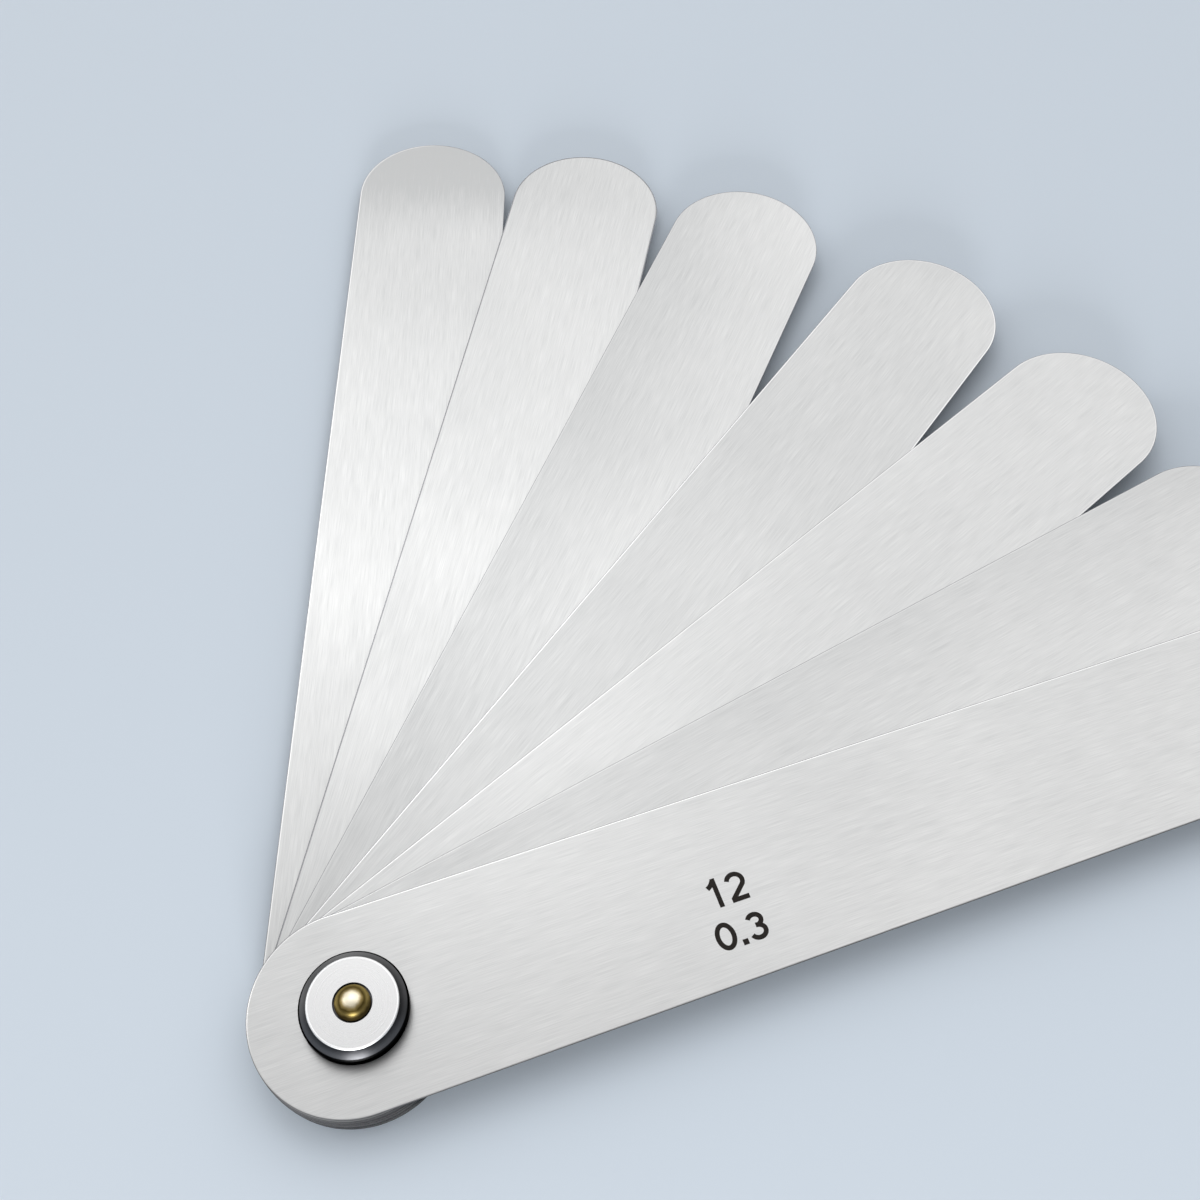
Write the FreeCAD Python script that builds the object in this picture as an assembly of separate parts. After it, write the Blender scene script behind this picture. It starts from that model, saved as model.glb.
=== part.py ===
import FreeCAD, Part
import math
import os

# Leaf gauge: seven thin steel leaves that swing on one pivot between two turned discs.
# Origin on the pivot axis at the resting face, +X along the front leaf, +Z up, millimetres.

# Leaves
leaf_width = 38.1
leaf_length = 254.0
pivot_inset = 20.0
leaf_thousandths = [4, 5, 6, 7, 8, 10, 12]
mm_per_thousandth = 0.0254
edge_break_width = 0.25
edge_break_share = 0.25

# Angle of each leaf from the front leaf, as the gauge lies open
fan_degrees = [70.0, 59.2, 47.7, 34.5, 22.2, 10.8, 0.0]

# Pivot pin
shank_radius = 3.0
head_radius = 3.3
head_rim_height = 1.0
head_bevel_width = 0.7
head_bevel_height = 0.35
dome_height = 1.1
tail_radius = 4.2
tail_recess = 0.15
tail_cone_depth = 1.2

# Turned discs
disc_base_radius = 10.1
disc_face_radius = 8.25
disc_face_chamfer = 0.2
disc_lower_chamfer = 0.35
front_disc_height = 4.8
front_disc_land_height = 2.28
rear_disc_height = 2.5
rear_disc_land_height = 0.4
recess_depth = 1.1
recess_gap = 0.35

# Spacer washers
washer_radius = 8.0
washer_thickness = 0.6

# Fits
leaf_running_clearance = 0.05
leaf_side_play = 0.02

half_width = leaf_width / 2
up = FreeCAD.Vector(0, 0, 1)


def at(x, y, z):
    return FreeCAD.Vector(x, y, z)


def cylinder(radius, bottom, height):
    return Part.makeCylinder(radius, height, at(0, 0, bottom), up)


def turned(edges):
    face = Part.Face(Part.Wire(edges))
    return face.revolve(at(0, 0, 0), up, 360)


def profile_lines(points):
    """Straight edges through points given as radius and height."""
    corners = [at(radius, 0, height) for radius, height in points]
    return [Part.makeLine(a, b) for a, b in zip(corners, corners[1:])]


def round_end(thickness, centre_x):
    depth = thickness * edge_break_share
    points = [
        (0, 0),
        (half_width - edge_break_width, 0),
        (half_width, depth),
        (half_width, thickness - depth),
        (half_width - edge_break_width, thickness),
        (0, thickness),
        (0, 0),
    ]
    end = turned(profile_lines(points))
    end.translate(at(centre_x, 0, 0))
    return end


def bar(thickness, start_x, length):
    depth = thickness * edge_break_share
    inner = half_width - edge_break_width
    corners = [
        at(start_x, -inner, 0),
        at(start_x, inner, 0),
        at(start_x, half_width, depth),
        at(start_x, half_width, thickness - depth),
        at(start_x, inner, thickness),
        at(start_x, -inner, thickness),
        at(start_x, -half_width, thickness - depth),
        at(start_x, -half_width, depth),
        at(start_x, -inner, 0),
    ]
    return Part.Face(Part.makePolygon(corners)).extrude(at(length, 0, 0))


def leaf(thickness, bottom, degrees):
    """One leaf with both ends round, its edges lightly broken, its hole on the pivot axis."""
    near_centre = half_width - pivot_inset
    tip_centre = leaf_length - pivot_inset - half_width
    blank = bar(thickness, near_centre, tip_centre - near_centre)
    blank = blank.fuse([round_end(thickness, near_centre), round_end(thickness, tip_centre)])
    hole = cylinder(shank_radius + leaf_running_clearance, -thickness, 3 * thickness)
    shape = blank.removeSplitter().cut(hole)
    shape.rotate(at(0, 0, 0), up, degrees)
    shape.translate(at(0, 0, bottom))
    return shape


def washer(bottom):
    ring = cylinder(washer_radius, bottom, washer_thickness)
    return ring.cut(cylinder(shank_radius, bottom, washer_thickness))


def disc_blank(height, land_height):
    """Disc standing on its wide side: a straight land, then a coned flank up to the flat face."""
    points = [
        (0, 0),
        (disc_base_radius - disc_lower_chamfer, 0),
        (disc_base_radius, disc_lower_chamfer),
        (disc_base_radius, disc_lower_chamfer + land_height),
        (disc_face_radius + disc_face_chamfer, height - disc_face_chamfer),
        (disc_face_radius, height),
        (0, height),
        (0, 0),
    ]
    return turned(profile_lines(points))


def front_disc(bottom):
    disc = disc_blank(front_disc_height, front_disc_land_height)
    disc = disc.cut(cylinder(shank_radius, 0, front_disc_height))
    recess = cylinder(head_radius + recess_gap, front_disc_height - recess_depth, recess_depth)
    disc = disc.cut(recess)
    disc.translate(at(0, 0, bottom))
    return disc


def pin_tail():
    """Riveted tail: a cone that fills the countersink, a little below the resting face."""
    cone_top = tail_recess + tail_cone_depth
    points = [(0, tail_recess), (tail_radius, tail_recess), (shank_radius, cone_top), (0, cone_top), (0, tail_recess)]
    return turned(profile_lines(points))


def rear_disc():
    disc = disc_blank(rear_disc_height, rear_disc_land_height)
    disc.rotate(at(0, 0, 0), at(1, 0, 0), 180)
    disc.translate(at(0, 0, rear_disc_height))
    disc = disc.cut(cylinder(shank_radius, 0, rear_disc_height))
    return disc.cut([pin_tail(), cylinder(tail_radius, 0, tail_recess)])


def pivot_pin(disc_bottom):
    """Shank with a riveted tail below and, in the recess above, a rimmed head with a domed middle."""
    seat = disc_bottom + front_disc_height - recess_depth
    rim_top = seat + head_rim_height
    dome_foot = rim_top + head_bevel_height
    dome_radius = head_radius - head_bevel_width
    sphere_radius = (dome_radius ** 2 + dome_height ** 2) / (2 * dome_height)
    half_angle = math.asin(dome_radius / sphere_radius) / 2
    sphere_centre = dome_foot + dome_height - sphere_radius
    halfway = at(
        sphere_radius * math.sin(half_angle),
        0,
        sphere_centre + sphere_radius * math.cos(half_angle),
    )
    dome_top = at(0, 0, dome_foot + dome_height)
    edges = profile_lines(
        [(0, dome_foot + dome_height), (0, seat), (head_radius, seat), (head_radius, rim_top), (dome_radius, dome_foot)]
    )
    edges.append(Part.Arc(at(dome_radius, 0, dome_foot), halfway, dome_top).toShape())
    shank_bottom = tail_recess + tail_cone_depth
    shank = cylinder(shank_radius, shank_bottom, seat - shank_bottom)
    return pin_tail().fuse([shank, turned(edges)]).removeSplitter()


def build():
    """Every piece in the order of the stack, from the resting face up."""
    pieces = {"rear_disc": rear_disc()}
    level = rear_disc_height
    pieces["rear_washer"] = washer(level)
    level += washer_thickness
    last = len(leaf_thousandths)
    for number, (thousandths, degrees) in enumerate(zip(leaf_thousandths, fan_degrees), 1):
        thickness = thousandths * mm_per_thousandth
        level += leaf_side_play
        pieces["leaf_%d" % number] = leaf(thickness, level, degrees)
        level += thickness + leaf_side_play
        name = "front_washer" if number == last else "spacer_%d" % number
        pieces[name] = washer(level)
        level += washer_thickness
    pieces["front_disc"] = front_disc(level)
    pieces["pivot_pin"] = pivot_pin(level)
    return pieces


os.makedirs("parts", exist_ok=True)
for name, shape in build().items():
    if not shape.isValid() or len(shape.Solids) != 1:
        raise ValueError("%s is not one valid solid" % name)
    shape.Solids[0].exportStep("parts/%s.step" % name)
    box = shape.BoundBox
    print("%-13s %8.2f mm3  z %.3f to %.3f" % (name, shape.Volume, box.ZMin, box.ZMax))
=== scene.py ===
import math
import bpy
from mathutils import Matrix, Vector


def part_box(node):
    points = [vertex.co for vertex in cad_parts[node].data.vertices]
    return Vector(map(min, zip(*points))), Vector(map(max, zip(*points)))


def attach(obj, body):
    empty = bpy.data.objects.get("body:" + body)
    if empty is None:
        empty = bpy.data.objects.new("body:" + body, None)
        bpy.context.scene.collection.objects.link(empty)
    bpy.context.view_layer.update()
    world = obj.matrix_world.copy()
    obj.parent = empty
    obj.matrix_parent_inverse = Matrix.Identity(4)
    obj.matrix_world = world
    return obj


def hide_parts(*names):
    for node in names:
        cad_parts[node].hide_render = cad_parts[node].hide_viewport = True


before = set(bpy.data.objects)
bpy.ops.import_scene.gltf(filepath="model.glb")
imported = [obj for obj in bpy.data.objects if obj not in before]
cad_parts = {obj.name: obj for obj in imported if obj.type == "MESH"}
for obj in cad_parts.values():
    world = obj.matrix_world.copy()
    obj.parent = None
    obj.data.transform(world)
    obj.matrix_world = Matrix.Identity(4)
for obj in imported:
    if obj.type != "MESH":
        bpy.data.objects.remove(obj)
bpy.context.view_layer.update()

mm = 0.001
print("frame loaded with", len(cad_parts), "nodes")


# Small helpers that every piece and finish uses

def toLinear(hexColour):
    # an sRGB hex colour as the linear values that Blender mixes with
    channels = [int(hexColour[i:i + 2], 16) / 255 for i in (1, 3, 5)]
    linear = [c / 12.92 if c <= 0.04045 else ((c + 0.055) / 1.055) ** 2.4 for c in channels]
    return (*linear, 1.0)


def addNode(tree, kind, settings=None, links=None):
    # settings are properties or input values, links are input: output socket
    node = tree.nodes.new(kind)
    for key, value in (settings or {}).items():
        if isinstance(key, str) and hasattr(node, key):
            setattr(node, key, value)
    for key, value in (settings or {}).items():
        if not (isinstance(key, str) and hasattr(node, key)):
            node.inputs[key].default_value = value
    for key, socket in (links or {}).items():
        tree.links.new(socket, node.inputs[key])
    return node


def newMaterial(name):
    material = bpy.data.materials.new(name)
    material.use_nodes = True
    material.node_tree.nodes.clear()
    return material, material.node_tree


def newTree(name, inputs):
    # a Geometry Nodes tree with named inputs, each given as name: (socket type, value)
    tree = bpy.data.node_groups.new(name, "GeometryNodeTree")
    tree.interface.new_socket("Geometry", in_out="INPUT", socket_type="NodeSocketGeometry")
    for label, (kind, value) in inputs.items():
        socket = tree.interface.new_socket(label, in_out="INPUT", socket_type=kind)
        if value is not None:
            socket.default_value = value
    tree.interface.new_socket("Geometry", in_out="OUTPUT", socket_type="NodeSocketGeometry")
    return tree, addNode(tree, "NodeGroupInput")


def runTree(name, tree, values, source=None):
    # puts the tree on an object, sets its inputs by identifier and keeps the result as a plain mesh
    holder = bpy.data.objects.new(name + "Holder", source or bpy.data.meshes.new(name + "Start"))
    bpy.context.scene.collection.objects.link(holder)
    modifier = holder.modifiers.new("shape", "NODES")
    modifier.node_group = tree
    for item in tree.interface.items_tree:
        if item.in_out == "INPUT" and item.name in values:
            modifier[item.identifier] = values[item.name]
    bpy.context.view_layer.update()
    graph = bpy.context.evaluated_depsgraph_get()
    mesh = bpy.data.meshes.new_from_object(holder.evaluated_get(graph), depsgraph=graph)
    holder.modifiers.remove(modifier)
    bpy.data.objects.remove(holder)
    mesh.name = name
    piece = bpy.data.objects.new(name, mesh)
    bpy.context.scene.collection.objects.link(piece)
    return piece


# Finishes

steel = {
    "light": "#dadad9",         # crests rubbed bright by the belt
    "dark": "#b3b4b4",          # bottoms of the brush lines
    "undersideShadeLight": "#808283",    # undersides painted darker: painted shade between the leaves
    "undersideShadeDark": "#585a5c",
    "roughness": (0.3, 0.4),
    "lineWidth": 0.15 * mm,     # real scratches are about 0.05 mm wide, drawn coarser so that they show
    "lineLength": 7 * mm,
    "lineAmount": 0.75,
    "bandWidth": 1.1 * mm,
    "bandLength": 30 * mm,
    "bandAmount": 0.22,
    "cloudSize": 45 * mm,
    "cloudAmount": 0.2,
    "reliefDepth": 0.0015 * mm,
    "edgeHighlightColour": "#f4f4f3",    # painted highlight just inside the outline
    "edgeShadeColour": "#7c7d80",      # painted shade on the edge itself
    "darkWidth": (0.06, 0.16),  # mm from the outline over which the painted shade line fades
    # mm from the outline over which the painted highlight band fades
    "brightWidth": (0.23, 0.38),
    "highlightSideSpan": (-5.0, 5.0),  # mm across the leaf: the painted highlight shows only on its left side, the side towards the light
    "edgeRoughness": 0.24,
    "pivotShadeReach": (-2.0, 9.0),    # mm along the leaf, where the painted shade on the edge round the pivot gives way
    "tipReach": (196.0, 226.0), # mm along the leaf, where the painted shade on a leaf's tip sets in
}


leaves = {
    "width": 38.1 * mm,
    "length": 254 * mm,
    "inset": 20 * mm,           # hole centre to the near end
    "holeRadius": 3.05 * mm,
    "edgeBreak": 0.25 * mm,
    "edgeShare": 0.25,          # of the thickness, above and below
    "endSteps": 256,            # straight steps round both ends together
    "holeSteps": 64,
    "seam": 0.012 * mm,         # points nearer than this are joined
    "sharpAngle": 30,
    "thousandths": (4, 5, 6, 7, 8, 10, 12),
    "angles": (70.0, 59.2, 47.7, 34.5, 22.2, 10.8, 0.0),
    # painted light and shade on each leaf, from leaf 1 up
    "leafShade": (-0.12, -0.07, -0.16, -0.14, 0.02, 0.02, 0.14),       # painted light and shade: lightens the whole leaf, darkens it where negative
    "acrossShade": (0.0, 0.05, 0.14, 0.04, 0.0, 0.14, 0.06),           # painted shade across the leaf: lightens its right half against its left
    "tipShade": (0.45, 0.1, -0.15, -0.05, 0.0, 0.0, 0.0),           # painted shade: darkens the tip, lightens it where negative
    "edgeShadeAtPivot": (0.0, 1.0, 1.0, 1.0, 1.0, 1.0, 0.0),             # painted shade: darkens the edge round the pivot
    "edgeShadeAlong": (0.0, 1.0, 0.4, 0.0, 0.0, 0.0, 0.0),            # painted shade: darkens the rest of the edge
    "edgeHighlightAmount": (0.7, 0.8, 0.4, 0.75, 0.6, 0.25, 0.9),             # how clearly the painted highlight along the edge shows
}
# for the undersides: painted shade all round the edge
undersideShadeSettings = {"leafShade": 0.0, "acrossShade": 0.0, "tipShade": 0.0, "edgeShadeAtPivot": 1.0, "edgeShadeAlong": 0.0, "edgeHighlightAmount": 1.0}


def brushedSpringSteel(name, number, light, dark, shadeAndWear):
    # hardened spring steel strip, brushed along its length: satin, with fine long lines, painted light and shade over
    # each leaf, and a painted highlight and painted shade along its edges
    material, tree = newMaterial(name)
    halfWidth = leaves["width"] / 2 / mm
    place = addNode(tree, "ShaderNodeUVMap", {"uv_map": "leafPlace"})
    layers = []
    for width, length, amount, detail in (
        (steel["lineWidth"], steel["lineLength"], steel["lineAmount"], 3.0),
        (steel["bandWidth"], steel["bandLength"], steel["bandAmount"], 2.0),
        (steel["cloudSize"], steel["cloudSize"], steel["cloudAmount"], 1.0),
    ):
        stretched = addNode(tree, "ShaderNodeMapping", {
            "Location": (number * 3.7, number * 11.3, 0), "Scale": (mm / length, mm / width, 1),
        }, {"Vector": place.outputs["UV"]})
        noise = addNode(tree, "ShaderNodeTexNoise", {
            "noise_dimensions": "2D", "Scale": 1.0, "Detail": detail, "Roughness": 0.55,
        }, {"Vector": stretched.outputs["Vector"]})
        layers.append((noise.outputs["Fac"], amount))
    across = addNode(tree, "ShaderNodeSeparateXYZ", links={"Vector": place.outputs["UV"]})
    # painted light and shade over the whole leaf and across it, added to the brush lines
    shade = addNode(tree, "ShaderNodeMath", {
        "operation": "MULTIPLY_ADD", 1: -shadeAndWear["acrossShade"] / halfWidth,
        2: 0.5 + shadeAndWear["leafShade"] - sum(amount for noise, amount in layers) / 2,
    }, {0: across.outputs["Y"]})
    for noise, amount in layers:
        shade = addNode(tree, "ShaderNodeMath", {"operation": "MULTIPLY_ADD", 1: amount}, {
            0: noise, 2: shade.outputs["Value"],
        })
    reaches = {}
    for end, (start, stop) in (("tip", steel["tipReach"]), ("oil", steel["pivotShadeReach"])):
        reaches[end] = addNode(tree, "ShaderNodeMapRange", {
            "interpolation_type": "SMOOTHSTEP", "From Min": start, "From Max": stop,
        }, {"Value": across.outputs["X"]}).outputs["Result"]
    # painted shade towards the tip
    shade = addNode(tree, "ShaderNodeMath", {"operation": "MULTIPLY_ADD", 1: -shadeAndWear["tipShade"]}, {
        0: reaches["tip"], 2: shade.outputs["Value"],
    })
    brushed = addNode(tree, "ShaderNodeMix", {
        "data_type": "RGBA", 6: toLinear(dark), 7: toLinear(light),
    }, {0: shade.outputs["Value"]})
    # how far inside the leaf's outline a place lies, in mm: the outline is all that lies half a
    # width from the line between the centres of the two round ends
    nearCentre = halfWidth - leaves["inset"] / mm
    tipCentre = (leaves["length"] - leaves["inset"]) / mm - halfWidth
    fromMiddle = addNode(tree, "ShaderNodeMath", {"operation": "SUBTRACT", 1: (nearCentre + tipCentre) / 2}, {
        0: across.outputs["X"],
    })
    eitherWay = addNode(tree, "ShaderNodeMath", {"operation": "ABSOLUTE"}, {0: fromMiddle.outputs["Value"]})
    pastCentre = addNode(tree, "ShaderNodeMath", {"operation": "SUBTRACT", 1: (tipCentre - nearCentre) / 2}, {
        0: eitherWay.outputs["Value"],
    })
    beyond = addNode(tree, "ShaderNodeMath", {"operation": "MAXIMUM", 1: 0.0}, {0: pastCentre.outputs["Value"]})
    offset = addNode(tree, "ShaderNodeCombineXYZ", links={"X": beyond.outputs["Value"], "Y": across.outputs["Y"]})
    reach = addNode(tree, "ShaderNodeVectorMath", {"operation": "LENGTH"}, {0: offset.outputs["Vector"]})
    inside = addNode(tree, "ShaderNodeMath", {"operation": "SUBTRACT", 0: halfWidth}, {1: reach.outputs["Value"]})
    # a painted shade line right at the outline and a painted highlight band just inside it
    fades = {}
    for paintedEdge, (full, gone) in (("dark", steel["darkWidth"]), ("bright", steel["brightWidth"])):
        fades[paintedEdge] = addNode(tree, "ShaderNodeMapRange", {
            "From Min": full, "From Max": gone, "To Min": 1.0, "To Max": 0.0,
        }, {"Value": inside.outputs["Value"]}).outputs["Result"]
    # the painted highlight keeps to the leaf's left side, the side towards the light
    highlightSideMask = addNode(tree, "ShaderNodeMapRange", {
        "interpolation_type": "SMOOTHSTEP",
        "From Min": steel["highlightSideSpan"][0], "From Max": steel["highlightSideSpan"][1],
        "To Min": shadeAndWear["edgeShadeAtPivot"] * shadeAndWear["edgeHighlightAmount"], "To Max": shadeAndWear["edgeHighlightAmount"],
    }, {"Value": across.outputs["Y"]})
    fades["bright"] = addNode(tree, "ShaderNodeMath", {"operation": "MULTIPLY"}, {
        0: fades["bright"], 1: highlightSideMask.outputs["Result"],
    }).outputs["Value"]
    # painted shade on the edge round the pivot and along it
    shadePainted = addNode(tree, "ShaderNodeMapRange", {
        "To Min": shadeAndWear["edgeShadeAtPivot"], "To Max": shadeAndWear["edgeShadeAlong"],
    }, {"Value": reaches["oil"]})
    edgeColour = addNode(tree, "ShaderNodeMix", {
        "data_type": "RGBA", 6: toLinear(steel["edgeHighlightColour"]), 7: toLinear(steel["edgeShadeColour"]),
    }, {0: shadePainted.outputs["Result"]})
    # the painted highlight band inside the outline
    highlightPaint = addNode(tree, "ShaderNodeMix", {"data_type": "RGBA"}, {
        0: fades["bright"], 6: brushed.outputs[2], 7: edgeColour.outputs[2],
    })
    # the painted shade line at the outline
    colour = addNode(tree, "ShaderNodeMix", {"data_type": "RGBA", 7: toLinear(steel["edgeShadeColour"])}, {
        0: fades["dark"], 6: highlightPaint.outputs[2],
    })
    brushedRough = addNode(tree, "ShaderNodeMapRange", {
        "To Min": steel["roughness"][1], "To Max": steel["roughness"][0],
    }, {"Value": shade.outputs["Value"]})
    rough = addNode(tree, "ShaderNodeMix", {"data_type": "FLOAT", 3: steel["edgeRoughness"]}, {
        0: fades["bright"], 2: brushedRough.outputs["Result"],
    })
    relief = addNode(tree, "ShaderNodeBump", {
        "Strength": 0.5, "Distance": steel["reliefDepth"],
    }, {"Height": layers[0][0]})
    along = addNode(tree, "ShaderNodeTangent", {"direction_type": "UV_MAP", "uv_map": "leafPlace"})
    # turned by a quarter, so that a highlight spreads across the brush lines
    surface = addNode(tree, "ShaderNodeBsdfPrincipled", {
        "Metallic": 1.0, "Anisotropic": 0.6, "Anisotropic Rotation": 0.25,
    }, {
        "Base Color": colour.outputs[2], "Roughness": rough.outputs[0],
        "Normal": relief.outputs["Normal"], "Tangent": along.outputs["Tangent"],
    })
    addNode(tree, "ShaderNodeOutputMaterial", links={"Surface": surface.outputs["BSDF"]})
    return material


turning = {
    "light": "#e1e1e1",
    "dark": "#dddddd",
    "paintedEdge": "#ffffff",          # a painted highlight round the last of the face
    "ringPitch": 0.16 * mm,     # feed marks of the tool, drawn about twice their real pitch
    "roughness": (0.26, 0.32),
    "rim": (8.02 * mm, 8.1 * mm),
    "rimRoughness": 0.45,
    "reliefDepth": 0.001 * mm,
}


def turnedSteelFace():
    # faced on a lathe: bright, with fine rings round the middle and a painted highlight round the rim
    material, tree = newMaterial("faced bright steel")
    place = addNode(tree, "ShaderNodeTexCoord")
    flat = addNode(tree, "ShaderNodeVectorMath", {
        "operation": "MULTIPLY", 1: (1, 1, 0),
    }, {0: place.outputs["Object"]})
    radius = addNode(tree, "ShaderNodeVectorMath", {"operation": "LENGTH"}, {0: flat.outputs["Vector"]})
    rings = addNode(tree, "ShaderNodeTexNoise", {
        "noise_dimensions": "1D", "Scale": 1 / turning["ringPitch"], "Detail": 2.0,
    }, {"W": radius.outputs["Value"]})
    spread = addNode(tree, "ShaderNodeMapRange", {
        "From Min": 0.3, "From Max": 0.7,
    }, {"Value": rings.outputs["Fac"]})
    colour = addNode(tree, "ShaderNodeMix", {
        "data_type": "RGBA", 6: toLinear(turning["dark"]), 7: toLinear(turning["light"]),
    }, {0: spread.outputs["Result"]})
    faceRough = addNode(tree, "ShaderNodeMapRange", {
        "To Min": turning["roughness"][1], "To Max": turning["roughness"][0],
    }, {"Value": spread.outputs["Result"]})
    # the rim ring: rougher, and painted white as a highlight
    rimBand = addNode(tree, "ShaderNodeMapRange", {
        "From Min": turning["rim"][0], "From Max": turning["rim"][1],
    }, {"Value": radius.outputs["Value"]})
    rough = addNode(tree, "ShaderNodeMix", {"data_type": "FLOAT", 3: turning["rimRoughness"]}, {
        0: rimBand.outputs["Result"], 2: faceRough.outputs["Result"],
    })
    withRimHighlight = addNode(tree, "ShaderNodeMix", {"data_type": "RGBA", 7: toLinear(turning["paintedEdge"])}, {
        0: rimBand.outputs["Result"], 6: colour.outputs[2],
    })
    relief = addNode(tree, "ShaderNodeBump", {
        "Strength": 0.5, "Distance": turning["reliefDepth"],
    }, {"Height": rings.outputs["Fac"]})
    surface = addNode(tree, "ShaderNodeBsdfPrincipled", {"Metallic": 1.0}, {
        "Base Color": withRimHighlight.outputs[2], "Roughness": rough.outputs[0], "Normal": relief.outputs["Normal"],
    })
    addNode(tree, "ShaderNodeOutputMaterial", links={"Surface": surface.outputs["BSDF"]})
    return material


flank = {
    # the flank's dark greys are painted shade for the dark surroundings that polished steel reflects
    "light": "#3e3e40",
    "dark": "#2c2c2e",
    "highlightPaint": "#5c5c5e",        # painted highlight: the lower half of the flank painted lighter
    "highlightHeights": (13.4, 12.2),
    "footShade": "#101010",          # painted shade: the land below the flank painted black
    "footShadeHeights": (11.88, 11.98),
    "edgeTint": "#ffffff",      # lightens where it is seen at a slant
    # a dark tint that keeps the painted black land dark at a slant
    "footShadeTint": "#202020",
    "roughness": (0.26, 0.32),
    "grain": 1.2 * mm,
}


def darkPaintedPolishedSteel():
    # polished steel painted deep grey, painted shade for the dark surroundings it reflects, with sharp soft-edged
    # highlights
    material, tree = newMaterial("polished steel painted dark")
    place = addNode(tree, "ShaderNodeTexCoord")
    stretch = addNode(tree, "ShaderNodeMapping", {"Scale": (1, 1, 6)}, {"Vector": place.outputs["Object"]})
    grain = addNode(tree, "ShaderNodeTexNoise", {
        "Scale": 1 / flank["grain"], "Detail": 5.0, "Roughness": 0.6,
    }, {"Vector": stretch.outputs["Vector"]})
    spread = addNode(tree, "ShaderNodeMapRange", {
        "From Min": 0.2, "From Max": 0.8,
    }, {"Value": grain.outputs["Fac"]})
    flankBase = addNode(tree, "ShaderNodeMix", {
        "data_type": "RGBA", 6: toLinear(flank["dark"]), 7: toLinear(flank["light"]),
    }, {0: spread.outputs["Result"]})
    height = addNode(tree, "ShaderNodeSeparateXYZ", links={"Vector": place.outputs["Object"]})
    # painted highlight band on the lower half of the flank
    lower = addNode(tree, "ShaderNodeMapRange", {
        "interpolation_type": "SMOOTHSTEP",
        "From Min": flank["highlightHeights"][0] * mm, "From Max": flank["highlightHeights"][1] * mm,
    }, {"Value": height.outputs["Z"]})
    withHighlightBand = addNode(tree, "ShaderNodeMix", {"data_type": "RGBA", 7: toLinear(flank["highlightPaint"])}, {
        0: lower.outputs["Result"], 6: flankBase.outputs[2],
    })
    # painted shade: black below the flank
    aboveFoot = addNode(tree, "ShaderNodeMapRange", {
        "From Min": flank["footShadeHeights"][0] * mm, "From Max": flank["footShadeHeights"][1] * mm,
    }, {"Value": height.outputs["Z"]})
    colour = addNode(tree, "ShaderNodeMix", {"data_type": "RGBA", 6: toLinear(flank["footShade"])}, {
        0: aboveFoot.outputs["Result"], 7: withHighlightBand.outputs[2],
    })
    rough = addNode(tree, "ShaderNodeMapRange", {
        "To Min": flank["roughness"][0], "To Max": flank["roughness"][1],
    }, {"Value": spread.outputs["Result"]})
    slant = addNode(tree, "ShaderNodeMix", {
        "data_type": "RGBA", 6: toLinear(flank["footShadeTint"]), 7: toLinear(flank["edgeTint"]),
    }, {0: aboveFoot.outputs["Result"]})
    surface = addNode(tree, "ShaderNodeBsdfPrincipled", {"Metallic": 1.0}, {
        "Base Color": colour.outputs[2], "Roughness": rough.outputs["Result"], "Specular Tint": slant.outputs[2],
    })
    addNode(tree, "ShaderNodeOutputMaterial", links={"Surface": surface.outputs["BSDF"]})
    return material


rivetBrass = {
    # radius in mm and the colour there: a painted highlight on the crown, painted shade in the groove, a painted
    # highlight on the ring, painted shade at the rim
    "bands": (
        (0.0, "#fff8e6"), (1.25, "#fdf2d6"), (1.85, "#a08c5a"), (2.3, "#54461f"), (2.85, "#8c7b49"), (3.3, "#463b20"),
    ),
    "highlightCentre": (0.0, -0.45 * mm, 0),      # the painted highlight's centre lies a little off the middle
    "patches": 0.25,            # mm by which the bands wander
    "roughness": 0.42,
    "grain": 0.9 * mm,
}


def polishedBrass():
    # cartridge brass rivet, with a painted highlight in the middle and painted shade browner towards its rim
    material, tree = newMaterial("rivet brass with painted highlight")
    place = addNode(tree, "ShaderNodeTexCoord")
    flat = addNode(tree, "ShaderNodeVectorMath", {
        "operation": "MULTIPLY_ADD", 1: (1, 1, 0), 2: rivetBrass["highlightCentre"],
    }, {0: place.outputs["Object"]})
    radius = addNode(tree, "ShaderNodeVectorMath", {"operation": "LENGTH"}, {0: flat.outputs["Vector"]})
    grain = addNode(tree, "ShaderNodeTexNoise", {
        "Scale": 1 / rivetBrass["grain"], "Detail": 4.0,
    }, {"Vector": place.outputs["Object"]})
    wander = addNode(tree, "ShaderNodeMapRange", {
        "To Min": -rivetBrass["patches"] * mm, "To Max": rivetBrass["patches"] * mm,
    }, {"Value": grain.outputs["Fac"]})
    outwards = addNode(tree, "ShaderNodeMath", {"operation": "ADD"}, {
        0: radius.outputs["Value"], 1: wander.outputs["Result"],
    })
    rim = rivetBrass["bands"][-1][0]
    share = addNode(tree, "ShaderNodeMath", {"operation": "DIVIDE", 1: rim * mm}, {0: outwards.outputs["Value"]})
    colour = addNode(tree, "ShaderNodeValToRGB", links={"Fac": share.outputs["Value"]})
    stops = colour.color_ramp.elements
    while len(stops) < len(rivetBrass["bands"]):
        stops.new(0.5)
    for stop, (ring, tint) in zip(stops, rivetBrass["bands"]):
        stop.position = ring / rim
        stop.color = toLinear(tint)
    surface = addNode(tree, "ShaderNodeBsdfPrincipled", {
        "Metallic": 1.0, "Roughness": rivetBrass["roughness"],
    }, {"Base Color": colour.outputs["Color"]})
    addNode(tree, "ShaderNodeOutputMaterial", links={"Surface": surface.outputs["BSDF"]})
    return material


washers = {
    "light": "#b4b5b6",
    "dark": "#8f9193",
    "roughness": (0.32, 0.5),
    "grain": 0.4 * mm,
}


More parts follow.
